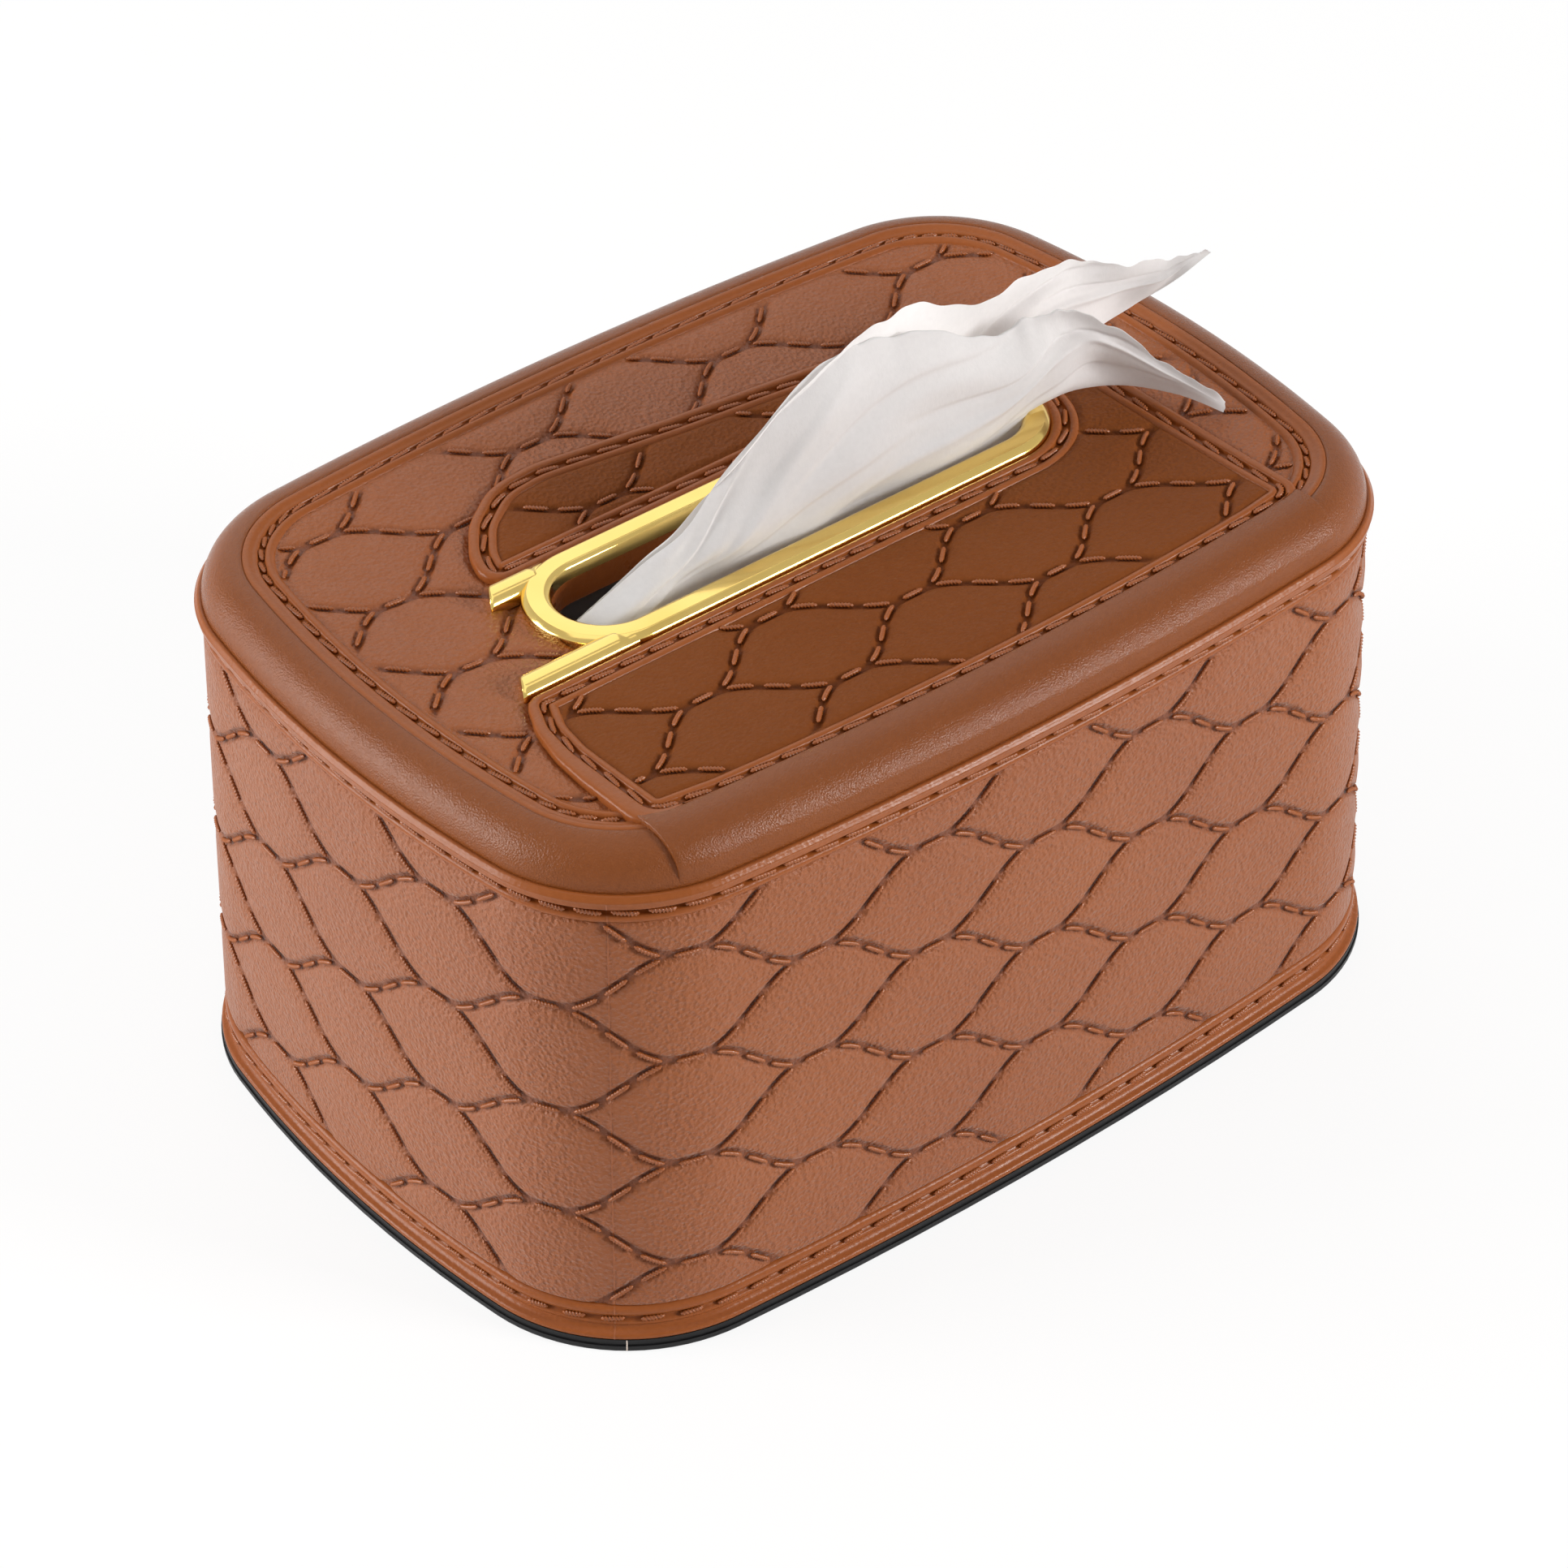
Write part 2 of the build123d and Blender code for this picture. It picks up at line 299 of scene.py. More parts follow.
def rope_mesh(centres, normals, radius):
    """Short lengths of twisted two-strand cord: centres and normals are lists of (n, 3) arrays."""
    angle = np.arange(ROPE_SIDES) * 2 * np.pi / ROPE_SIDES
    verts, faces, base = [], [], 0
    for line, normal in zip(centres, normals):
        count = max(4, int(round(length_of(line) / ROPE_STEP)))
        at = np.linspace(0, length_of(line), count)
        p, n = walk(line, at), walk(line, at, normal)
        t = np.gradient(p, axis=0)
        t /= np.linalg.norm(t, axis=1, keepdims=True)
        b = np.cross(t, n)
        b /= np.linalg.norm(b, axis=1, keepdims=True)
        n = np.cross(b, t)
        phase = ROPE_TWIST * at[:, None] + rng.uniform(0, np.pi)
        lobe = 0.5 + 0.58 * np.abs(np.cos(angle[None] - phase)) ** 1.4
        ends = np.minimum(at, at[-1] - at)
        taper = np.sqrt(np.clip(1 - (1 - np.clip(ends / ROPE_TAPER, 0, 1)) ** 2, 0.06, 1))
        r = radius * lobe * taper[:, None]
        ring = (
            p[:, None]
            + r[..., None] * np.cos(angle)[None, :, None] * n[:, None]
            + r[..., None] * np.sin(angle)[None, :, None] * b[:, None]
        )
        verts.append(ring.reshape(-1, 3))
        faces.append(grid_faces(count, ROPE_SIDES, True)[:, ::-1] + base)
        base += count * ROPE_SIDES
    caps = []
    start = 0
    for v in verts:
        caps.append(list(range(start, start + ROPE_SIDES)))
        start += len(v)
        caps.append(list(range(start - 1, start - 1 - ROPE_SIDES, -1)))
    return np.concatenate(verts), np.concatenate(faces).tolist() + caps


def ropes(name, lines, radius=ROPE_RADIUS):
    """One piece of many stitches; lines are (centres, normals) pairs."""
    verts, faces = rope_mesh([a for a, _ in lines], [b for _, b in lines], radius)
    return piece(name, verts, faces, *on_cover(cord_material))


# ---- materials ----------------------------------------------------------------
def srgb(r, g, b):
    c = np.array([r, g, b]) / 255.0
    lin = np.where(c <= 0.04045, c / 12.92, ((c + 0.055) / 1.055) ** 2.4)
    return (*lin.tolist(), 1.0)


def add_node(tree, kind, inputs=None, **settings):
    """Adds a node; each of its inputs is given a plain value or another node's output."""
    node = tree.nodes.new(kind)
    for key, value in settings.items():
        setattr(node, key, value)
    for key, value in (inputs or {}).items():
        if isinstance(value, bpy.types.NodeSocket):
            tree.links.new(value, node.inputs[key])
        else:
            node.inputs[key].default_value = value
    return node


class Nodes:
    """A material and short ways to add nodes to it."""

    def __init__(self, name):
        self.material = bpy.data.materials.new(name)
        self.material.use_nodes = True
        self.tree = self.material.node_tree
        self.tree.nodes.clear()
        self.out = self.add("ShaderNodeOutputMaterial")
        self.shader = self.add("ShaderNodeBsdfPrincipled")
        self.link(self.shader.outputs[0], self.out.inputs[0])
        self.place = self.add("ShaderNodeTexCoord").outputs["Object"]

    def add(self, kind, inputs=None, **settings):
        return add_node(self.tree, kind, inputs, **settings)

    def link(self, a, b):
        self.tree.links.new(a, b)

    def set(self, **values):
        for key, value in values.items():
            self.shader.inputs[key.replace("_", " ")].default_value = value

    def noise(self, scale, detail=2.0, rough=0.5, stretch=None, distortion=0.0):
        place = self.place
        if stretch:
            mapping = self.add("ShaderNodeMapping", {"Vector": place, "Scale": stretch})
            place = mapping.outputs[0]
        values = {"Scale": scale, "Detail": detail, "Roughness": rough, "Distortion": distortion}
        return self.add("ShaderNodeTexNoise", {"Vector": place, **values}).outputs["Fac"]

    def cells(self, scale, smoothness=0.6):
        values = {"Vector": self.place, "Scale": scale, "Smoothness": smoothness}
        return self.add("ShaderNodeTexVoronoi", values, feature="SMOOTH_F1").outputs["Distance"]

    def scale(self, fac, low, high, from_low=0.0, from_high=1.0):
        limits = {"From Min": from_low, "From Max": from_high, "To Min": low, "To Max": high}
        return self.add("ShaderNodeMapRange", {"Value": fac, **limits}).outputs[0]

    def mix(self, fac, a, b):
        return self.add("ShaderNodeMix", {0: fac, 6: a, 7: b}, data_type="RGBA").outputs[2]

    def math(self, kind, a, b):
        return self.add("ShaderNodeMath", {0: a, 1: b}, operation=kind).outputs[0]

    def bump(self, height, distance):
        node = self.add("ShaderNodeBump", {"Height": height, "Distance": distance, "Strength": 1.0})
        self.link(node.outputs[0], self.shader.inputs["Normal"])

    def colour(self, socket):
        self.link(socket, self.shader.inputs["Base Color"])

    def blend(self, share, kind, **values):
        """Mixes a share of another shader into the material."""
        other = self.add(kind, values)
        inputs = {0: share, 1: self.shader.outputs[0], 2: other.outputs[0]}
        self.link(self.add("ShaderNodeMixShader", inputs).outputs[0], self.out.inputs[0])

    def roughness(self, socket):
        self.link(socket, self.shader.inputs["Roughness"])


def leather(name, grain, roughness, shade=1.0, ior=1.5, pitch=0.95, haze=0.0, groove_shaded=False):
    """Brown moulded plastic with a pebbled leather grain, whose pebbles are pitch wide; optionally
    with painted shade in its grooves.
    """
    m = Nodes(name)
    # the last tone is painted shade, for the grooves
    dark, light, worn, deep = (
        srgb(*(np.array(tone) * shade))
        for tone in ([136, 71, 29], [148, 81, 35], [162, 90, 43], [88, 36, 9])
    )
    broad = m.noise(22, 2.0)
    fine = m.noise(900, 3.0, 0.6)
    base = m.mix(m.scale(broad, 0.25, 0.75, 0.3, 0.7), dark, light)
    tone = m.mix(m.scale(fine, 0.0, 0.3, 0.35, 0.7), base, worn)
    # painted shade: the colour darkens towards the seams, in the grooves
    if groove_shaded:
        groove_shade = m.add("ShaderNodeAttribute", attribute_name="groove_shade").outputs["Fac"]
        tone = m.mix(m.math("MULTIPLY", groove_shade, 0.58), tone, deep)
    m.colour(tone)
    pebble = m.cells(1000 / pitch, smoothness=0.5)
    wrinkle = m.noise(1400 / pitch, 3.0, 0.6, distortion=0.4)
    both = m.math("ADD", m.math("MULTIPLY", pebble, 0.9), m.math("MULTIPLY", wrinkle, 0.8))
    m.bump(both, grain)
    m.roughness(m.scale(m.noise(260, 2.0), roughness - 0.04, roughness + 0.06, 0.3, 0.7))
    m.set(IOR=ior, Sheen_Weight=haze, Sheen_Roughness=0.4)
    return m.material


grained = leather("quilted_leather_look", 0.0004, 0.44, 0.97, 1.42, haze=0.25, groove_shaded=True)
lid_grained = leather("lid_leather_look", 0.0003, 0.42, 0.97, 1.45, groove_shaded=True)
# the flap's copy has a darker colour and a weaker reflection: painted shade from the pulled tissue
flap_shaded_leather = leather("flap_leather_painted_shade", 0.0002, 0.46, 0.81, 1.15, groove_shaded=True)
satin_brown = leather("satin_leather_look", 0.0001, 0.2, 0.85, 1.31, 0.4)
smooth_brown = leather("smooth_leather_look", 0.00005, 0.3, 0.97, 1.3)
cord_material = leather("moulded_cord", 0.00003, 0.28, 1.02)


def gold_material():
    m = Nodes("polished_gold_plate")
    tint = m.noise(60, 2.0)
    m.colour(m.mix(m.scale(tint, 0.0, 1.0, 0.3, 0.7), srgb(228, 196, 112), srgb(236, 206, 124)))
    m.roughness(m.scale(m.noise(400, 3.0), 0.1, 0.18, 0.3, 0.7))
    m.bump(m.noise(140, 2.0), 0.00003)
    m.set(Metallic=1.0)
    return m.material


gold = gold_material()


def base_material():
    m = Nodes("black_base_plastic")
    m.colour(m.mix(m.scale(m.noise(80), 0, 1, 0.3, 0.7), srgb(13, 13, 14), srgb(20, 20, 22)))
    m.bump(m.cells(1400), 0.00004)
    m.roughness(m.scale(m.noise(300), 0.38, 0.52, 0.3, 0.7))
    m.set(IOR=1.35)
    return m.material


black = base_material()


def pale_material():
    m = Nodes("pale_parting_mark")
    m.colour(m.mix(m.noise(2000), srgb(205, 190, 178), srgb(222, 208, 196)))
    m.set(Roughness=0.5)
    return m.material


mark_material = pale_material()


def tissue_material(name, thin):
    m = Nodes(name)
    m.colour(m.mix(m.noise(900, 3.0), srgb(222, 221, 222), srgb(234, 233, 234)))
    fibre = m.noise(1800, 4.0, 0.65, stretch=(1.0, 1.0, 0.35))
    m.bump(fibre, 0.00005)
    m.set(Roughness=0.9, IOR=1.2)
    if thin:
        # light also passes through a single layer
        m.blend(0.3, "ShaderNodeBsdfTranslucent", Color=srgb(236, 232, 230))
    return m.material


paper = tissue_material("tissue_paper", True)
paper_stack = tissue_material("tissue_paper_stack", False)

# ---- wall ---------------------------------------------------------------------
LAMBDA = GIRTH / 12
wall_quilt = Quilt(LAMBDA, 25.1, LAMBDA / 2, 20.25, 5.5, 2.75)
PANEL_LOW, PANEL_HIGH = 10.2, 104.4
WALL_INSET = 1.5
WALL_ROWS, WALL_STEP = 225, 0.47


def wall_height(w, z):
    edge = np.minimum(z - PANEL_LOW, PANEL_HIGH - z)
    sink = 0.55 * (1 - smooth(edge / 0.7))
    fade = smooth(edge / 2.2)
    return wall_quilt.height(w, z) * (0.35 + 0.65 * fade) - sink


# The corners' middles, as distances from the front's middle.
CORNER = QUARTER_STEPS[1] + (QUARTER_STEPS[2] - QUARTER_STEPS[1]) / 2
CORNERS = [-CORNER, CORNER, 2 * QUARTER - CORNER, 2 * QUARTER + CORNER]


def build_wall():
    names = ("front", "right", "back", "left")
    stops = [*CORNERS, GIRTH - CORNER]
    z = np.linspace(PANEL_LOW, PANEL_HIGH, WALL_ROWS)
    seams = wall_quilt.seams((stops[0], stops[-1]), (PANEL_LOW, PANEL_HIGH))
    for name, start, end in zip(names, stops, stops[1:]):
        cols = int(round((end - start) / WALL_STEP))
        w = np.linspace(start, end, cols)
        ww, zz = np.meshgrid(w, z)
        points, _ = wall_point(ww, zz, WALL_INSET - wall_height(ww, zz))
        wall = grid_piece(f"wall_{name}", points, False, *on_cover(grained))
        paint_groove_shade(wall, wall_quilt.distance(ww, zz))
        lines = []
        for seam in seams:
            if not start <= seam[:, 0].mean() < end:
                continue
            z_seam = seam[:, 1]
            seam = inside_run(seam, (z_seam > PANEL_LOW + 0.5) & (z_seam < PANEL_HIGH - 0.4))
            if seam is not None:
                lines.append(wall_point(seam[:, 0], seam[:, 1], WALL_INSET - 0.15))
        ropes(f"wall_seam_{name}", lines, SEAM_RADIUS)


def inside_run(line, keep):
    """Longest stretch of a line whose points are all kept, or None if it is short."""
    if keep.all():
        return line
    best, run = (0, 0), 0
    for i, k in enumerate(keep):
        run = run + 1 if k else 0
        if run > best[1]:
            best = (i - run + 1, run)
    part = line[best[0] : best[0] + best[1]]
    if len(part) < 4 or length_of(part) < 1.4:
        return None
    return part


def profile_ring(name, rows, material):
    """Sweeps a profile of (inset, z) rows around the wall's outline."""
    cols = int(round(GIRTH / 0.8))
    w = np.arange(cols) * GIRTH / cols
    inset, z = np.array(rows).T[..., None]
    points, _ = wall_point(w[None], z, inset)
    grid_piece(name, points, True, *on_cover(material))


FOOT_PROFILE = [
    (3.7, 2.9), (0.35, 2.9), (0.05, 3.1), (0.0, 3.5), (0.05, 3.9), (0.45, 4.15), (1.0, 4.35),
    (1.45, 4.7), (1.65, 5.2), (1.75, 5.45), (1.45, 5.6), (1.25, 5.9), (1.2, 6.2), (1.25, 6.5),
    (1.5, 6.75), (2.1, 6.95), (2.15, 7.4), (2.1, 7.8), (1.5, 8.0), (1.15, 8.2), (1.0, 8.8),
    (0.95, 9.2), (1.0, 9.6), (1.2, 10.1), (1.75, 10.4), (2.4, 10.5),
]
NECK_PROFILE = [
    (2.4, 104.1), (1.8, 104.3), (1.2, 104.6), (0.95, 105.0), (0.9, 105.4), (1.0, 105.9),
    (1.6, 106.2), (2.4, 106.4), (2.5, 107.2), (2.4, 108.0), (1.6, 108.25), (0.15, 108.3),
    (0.03, 108.4), (0.0, 108.5), (-0.1, 109.2), (-0.22, 109.8), (-0.3, 110.0), (-0.12, 110.15),
    (0.1, 110.6), (0.35, 111.0), (0.65, 111.18), (1.0, 111.16), (1.2, 111.1),
]
ROLL_CENTRE, ROLL_Z, ROLL_RADIUS = 9.4, 111.2, 8.2
# Stitches in the grooves of the band and of the foot: pitch, length, z at both ends, inset.
BAND_STITCHES = ((7.1, 5.4, 107.25, 106.75, 1.05), (7.35, 4.4, 7.2, 7.55, 1.3))


def roll_rows(rise, first=0.0, last=90.0, count=19):
    a = np.radians(np.linspace(first, last, count))
    r = ROLL_RADIUS + rise(np.degrees(a))
    return [(ROLL_CENTRE - r_ * np.cos(t), ROLL_Z + r_ * np.sin(t)) for r_, t in zip(r, a)]


def build_rim():
    profile_ring("foot_moulding", FOOT_PROFILE, smooth_brown)
    roll = roll_rows(lambda a: 0 * a)
    profile_ring("rim_band", NECK_PROFILE, smooth_brown)
    profile_ring("rim_roll", [(1.25, 110.9)] + roll + [(9.6, 119.25), (9.75, 118.6)], satin_brown)
    lines = []
    for pitch, length, z_out, z_in, inset in BAND_STITCHES:
        count = int(round(GIRTH / pitch))
        for i in range(count):
            w0 = (i + 0.2) * GIRTH / count
            w = np.linspace(w0, w0 + length, STITCH_POINTS)
            lines.append(wall_point(w, np.linspace(z_out, z_in, STITCH_POINTS), inset))
    ropes("band_cords", lines)


RING_PROFILE = [
    (9.3, 118.6), (9.75, 119.28), (9.9, 119.36), (10.3, 119.42), (10.8, 119.38), (11.2, 119.2),
    (11.6, 119.0), (12.0, 118.92), (12.4, 118.88), (12.68, 118.7), (12.78, 118.3), (12.85, 118.0),
    (13.4, 117.95), (13.95, 118.0), (14.03, 118.3), (14.1, 118.65), (14.35, 119.0),
    (14.7, 119.1), (15.1, 119.05), (15.6, 118.8), (16.0, 118.4), (16.3, 117.9), (16.5, 117.2),
]
FLAP_LEFT, FLAP_RIGHT = -83.2, 78.4


def w_at_x(x, inset, z):
    """Distance along the front from its middle at which the outline reaches x."""
    w = np.linspace(0, QUARTER, 800)
    p, _ = wall_point(w, z, inset)
    return np.sign(x) * np.interp(abs(x), p[:, 0], w)


def build_ring_border():
    """Beads and stitched groove inside the roll, left open where the flap lies over them."""
    cols = 640
    points = []
    for inset, z in RING_PROFILE:
        start = w_at_x(FLAP_RIGHT - 1.0, inset, z)
        end = GIRTH + w_at_x(FLAP_LEFT + 1.0, inset, z)
        p, _ = wall_point(np.linspace(start, end, cols), z, inset)
        points.append(p)
    grid_piece("ring_border", np.array(points), False, *on_cover(smooth_brown))
    count = int(round((GIRTH - 160) / 7.1))
    lines = []
    start, end = w_at_x(FLAP_RIGHT + 1.5, 13.4, 118), GIRTH + w_at_x(FLAP_LEFT - 1.5, 13.4, 118)
    pitch = (end - start) / count
    for i in range(count):
        w0 = start + i * pitch
        w = np.linspace(w0, w0 + 5.6, STITCH_POINTS)
        p, _ = wall_point(w, 118.4, np.linspace(13.05, 13.75, STITCH_POINTS))
        lines.append((p, upward(p)))
    ropes("ring_cords", lines)


def build_flash():
    """Fine ridges left at the corners where the mould parts, and a mark on the base below one."""
    z = np.linspace(PANEL_LOW, PANEL_HIGH, WALL_ROWS)
    for i, w in enumerate(CORNERS):
        path = np.concatenate(
            [FOOT_PROFILE[2:], np.stack([WALL_INSET - wall_height(w, z), z], -1), NECK_PROFILE[:16]]
        )
        rows = []
        for along, lift in ((-0.16, -0.04), (0.0, 0.12), (0.16, -0.04)):
            rows.append(wall_point(w + along, path[:, 1], path[:, 0] - lift)[0])
        grid_piece(f"mould_flash_{i}", np.array(rows), False, *on_cover(cord_material))
    mark = [
        (0.05, 2.85), (-0.06, 2.8), (-0.06, 1.6), (-0.34, 1.5), (-0.36, 1.2), (-0.36, 0.7),
        (-0.3, 0.4),
    ]
    inset, z = np.array(mark).T
    p = [wall_point(along, z, inset)[0] for along in (-96.62, -96.38)]
    grid_piece("base_mark", np.array(p), False, "base", "tray_plastic", mark_material)


# ---- lid ----------------------------------------------------------------------
lid_quilt = Quilt(51.2, 25.2, -25.7, 0.1, 5.3, 2.4)
LID_EDGE, LID_DISH = 118.4, 2.0
FLAP_STEP = 1.2
TRIM_OUTER, TRIM_INNER = 16.3, 10.3
LEFT_CENTRE, RIGHT_CENTRE = -45.35, 46.35


def lid_level(x, y):
    """Dished level of the lid between its raised borders."""
    across = 1 - np.minimum(1.0, (y / 58.0) ** 2)
    along = 1 - smooth((np.abs(x) - 72.0) / 22.0)
    return LID_EDGE - LID_DISH * across * along


def rounded_path(corners, step=0.7):
    """Closed path through corners (x, y, radius), with points about step apart."""
    pts = np.array([c[:2] for c in corners], float)
    out = []
    for i, (x, y, r) in enumerate(corners):
        p, a, b = pts[i], pts[i - 1], pts[(i + 1) % len(pts)]
        ua, ub = (a - p) / np.linalg.norm(a - p), (b - p) / np.linalg.norm(b - p)
        half = np.arccos(np.clip(ua @ ub, -1, 1)) / 2
        if r <= 0 or half > np.pi / 2 - 0.01:
            out.append(p[None])
            continue
        t = r / np.tan(half)
        start, end = p + ua * t, p + ub * t
        mid = (ua + ub) / np.linalg.norm(ua + ub)
        centre = p + mid * r / np.sin(half)
        a0, a1 = (np.arctan2(*(q - centre)[::-1]) for q in (start, end))
        turn = (a1 - a0 + np.pi) % (2 * np.pi) - np.pi
        s = a0 + turn * np.linspace(0, 1, max(4, int(abs(turn) * r / 0.5)))
        out.append(centre + r * np.stack([np.cos(s), np.sin(s)], -1))
    loop = np.concatenate(out)
    loop = np.concatenate([loop, loop[:1]])
    total = length_of(loop)
    count = int(round(total / step))
    return walk(loop, np.arange(count) * total / count)


def flap_loop():
    """Centre line of the stitched groove around the flap."""
    front = [(x, -(77.9 - 13.8) + x * x / (2 * 853.0), 0) for x in np.linspace(-66, 66, 23)]
    return rounded_path(
        [(-79.7, -59.4, 3.0)]
        + front
        + [
            (76.8, -60.0, 3.0), (76.8, 26.4, 10.0), (33, 32.4, 0), (20, 34.0, 0), (0, 36.1, 0),
            (-16, 38.4, 60), (-31, 40.6, 25), (-41, 39.6, 14), (-50, 33.2, 16), (-55.6, 25.4, 16),
            (-57.0, 19.4, 1.6), (RIGHT_CENTRE, 19.4, 0),
        ]
        + [
            (RIGHT_CENTRE + 19.4 * np.cos(a), 19.4 * np.sin(a), 0)
            for a in np.radians(np.linspace(84, -84, 29))
        ]
        + [
            (RIGHT_CENTRE, -19.4, 0), (-74.9, -19.4, 1.6), (-78.3, -27.0, 14), (-79.6, -35.5, 20),
        ]
    )


LOOP = flap_loop()


def signed_distance(x, y, loop):
    """Distance to a closed path, positive outside it."""
    shape = np.shape(x)
    p = np.stack([np.ravel(x), np.ravel(y)], -1)
    a, b = loop, np.roll(loop, -1, 0)
    ab = b - a
    best = np.full(len(p), 1e9)
    inside = np.zeros(len(p), bool)
    for i in range(len(a)):
        ap = p - a[i]
        t = np.clip((ap @ ab[i]) / (ab[i] @ ab[i]), 0, 1)
        best = np.minimum(best, np.hypot(*(ap - t[:, None] * ab[i]).T))
        crosses = (a[i, 1] > p[:, 1]) != (b[i, 1] > p[:, 1])
        if crosses.any():
            xs = a[i, 0] + (p[crosses, 1] - a[i, 1]) / ab[i, 1] * ab[i, 0]
            inside[crosses] ^= p[crosses, 0] < xs
    return np.where(inside, -best, best).reshape(shape)


def strip_width(x, y):
    """Width of the flap's raised edge outside the stitched groove."""
    left = smooth((-68.0 - x) / 6.0) * smooth((-20.0 - y) / 26.0)
    return 2.7 + 1.7 * left


def front_share(x, y):
    """1 along the flap's front groove, where the roll itself is the groove's outer side."""
    inset = TOP.inset_of(x, y)
    return (1 - smooth((inset - 16.0) / 3.0)) * smooth((76.5 - np.abs(x)) / 3.0) * (y < 0)


def loop_normals():
    """Outward directions of the loop."""
    t = np.roll(LOOP, -1, 0) - np.roll(LOOP, 1, 0)
    t /= np.linalg.norm(t, axis=1, keepdims=True)
    n = np.stack([t[:, 1], -t[:, 0]], -1)
    probe = signed_distance(*(LOOP[:1] + n[:1] * 0.5).T, LOOP)
    return n if probe[0] > 0 else -n


def build_flap_border():
    n = loop_normals()
    x, y = LOOP.T
    width = strip_width(x, y)
    front = front_share(x, y)
    width = width * (1 - front) + 1.15 * front
    section = [
        (1.0, 0.35, -1.9), (1.0, 0.3, -0.1), (1.0, 0.1, 0.22), (1.0, -0.3, 0.48), (1.0, -0.8, 0.58),
        (0.0, 1.35, 0.55), (0.0, 1.0, 0.4), (0.0, 0.86, 0.1), (0.0, 0.8, -0.4), (0.0, 0.72, -0.72),
        (0.0, 0.0, -0.8), (0.0, -0.72, -0.72), (0.0, -0.8, -0.4), (0.0, -0.86, 0.0),
        (0.0, -1.05, 0.28), (0.0, -1.5, 0.42), (0.0, -2.0, 0.36), (0.0, -2.4, 0.15),
        (0.0, -2.65, -0.2), (0.0, -2.75, -0.8),
    ]
    rows = []
    for share, off, dz in section:
        reach = share * width + off
        if share:
            reach = np.maximum(reach, 1.0 + 0.1 * (off + 0.8))
        p = LOOP + n * reach[:, None]
        level = lid_level(p[:, 0], p[:, 1]) + FLAP_STEP + dz
        if share or off > 0:
            level = level - 0.35 * front
        rows.append(at_height(p, level))
    grid_piece("flap_border", np.array(rows), True, *on_cover(smooth_brown))
    closed = np.concatenate([LOOP, LOOP[:1]])
    total = length_of(closed)
    count = int(round(total / 7.0))
    pitch = total / count
    lines = []
    for i in range(count):
        start = (i + 0.2) * pitch
        p = walk(closed, np.linspace(start, start + 5.2, STITCH_POINTS) % total)
        d = np.gradient(p, axis=0)
        d /= np.linalg.norm(d, axis=1, keepdims=True)
        side = np.stack([d[:, 1], -d[:, 0]], -1)
        p = p + side * np.linspace(-0.35, 0.35, STITCH_POINTS)[:, None]
        z = lid_level(p[:, 0], p[:, 1]) + FLAP_STEP - 0.12
        lines.append((at_height(p, z), upward(p)))
    ropes("flap_cords", lines)


def masked_field(name, x, y, z, keep, material, distance):
    """Height field over the plan, keeping the cells whose four corners are kept."""
    rows, cols = x.shape
    faces = grid_faces(rows, cols)
    faces = faces[keep.reshape(-1)[faces].all(1)]
    used = np.unique(faces)
    index = np.full(rows * cols, -1)
    index[used] = np.arange(len(used))
    verts = np.stack([x, y, z], -1).reshape(-1, 3)[used]
    obj = piece(name, verts, index[faces].tolist(), *on_cover(material))
    paint_groove_shade(obj, distance.reshape(-1)[used])


def slot_distance(x, y):
    """Distance from the slot's centre line."""
    cx = np.clip(x, LEFT_CENTRE, RIGHT_CENTRE)
    return np.hypot(x - cx, y)


CLEAR = 9.0  # a distance that counts as far from every seam


def build_lid():
    step = 0.46
    xs = np.arange(-97, 97.01, step)
    ys = np.arange(-66, 66.01, step)
    x, y = np.meshgrid(xs, ys)
    inset = TOP.inset_of(x, y)
    loop = signed_distance(x, y, LOOP)
    width = strip_width(x, y)
    level = lid_level(x, y)
    relief = lid_quilt.height(x, y)
    seam_distance = lid_quilt.distance(x, y)
    ring_edge = smooth((inset - 16.1) / 1.6)
    flap_edge = smooth((loop - width - 0.2) / 1.4)
    main = level + relief * ring_edge * flap_edge - 0.25 * (1 - flap_edge)
    keep = (inset > 15.4) & (loop > width - 1.2) & (slot_distance(x, y) > 12.5)
    bare = CLEAR * (1 - ring_edge * flap_edge)
    masked_field("lid_panel", x, y, main, keep, lid_grained, seam_distance + bare)
    inner = smooth((-loop - 2.3) / 1.5)
    flap = level + FLAP_STEP + relief * inner - 0.12 * (1 - inner)
    bare = CLEAR * (1 - inner)
    masked_field("flap_panel", x, y, flap, loop < -1.5, flap_shaded_leather, seam_distance + bare)
    lines = []
    seams = lid_quilt.seams((xs[0], xs[-1]), (ys[0], ys[-1]))
    seams = [s for s in seams if TOP.inset_of(*s.mean(0)) > 14]
    distances = signed_distance(*np.concatenate(seams).T, LOOP)
    distances = np.split(distances, np.cumsum([len(s) for s in seams])[:-1])
    for seam, d in zip(seams, distances):
        sx, sy = seam.T
        over = np.all(d < 0)
        if over:
            keep_run = d < -2.6
        else:
            out = (TOP.inset_of(sx, sy) > 16.2) & (d > strip_width(sx, sy) + 0.3)
            keep_run = out & (slot_distance(sx, sy) > 17.0)
            keep_run &= ~((np.abs(sy) > 9.0) & (np.abs(sy) < 17.2) & (sx > -78.5) & (sx < 0))
        part = inside_run(seam, keep_run)
        if part is None:
            continue
        z = lid_level(part[:, 0], part[:, 1]) + (FLAP_STEP if over else 0) + 0.05
        lines.append((at_height(part, z), upward(part)))
    ropes("lid_seams", lines, SEAM_RADIUS)


def flap_rise(angle):
    """Height of the flap above the roll, at an angle in degrees up from its front."""
    return 0.02 + smooth((angle - 6.0) / 26.0)


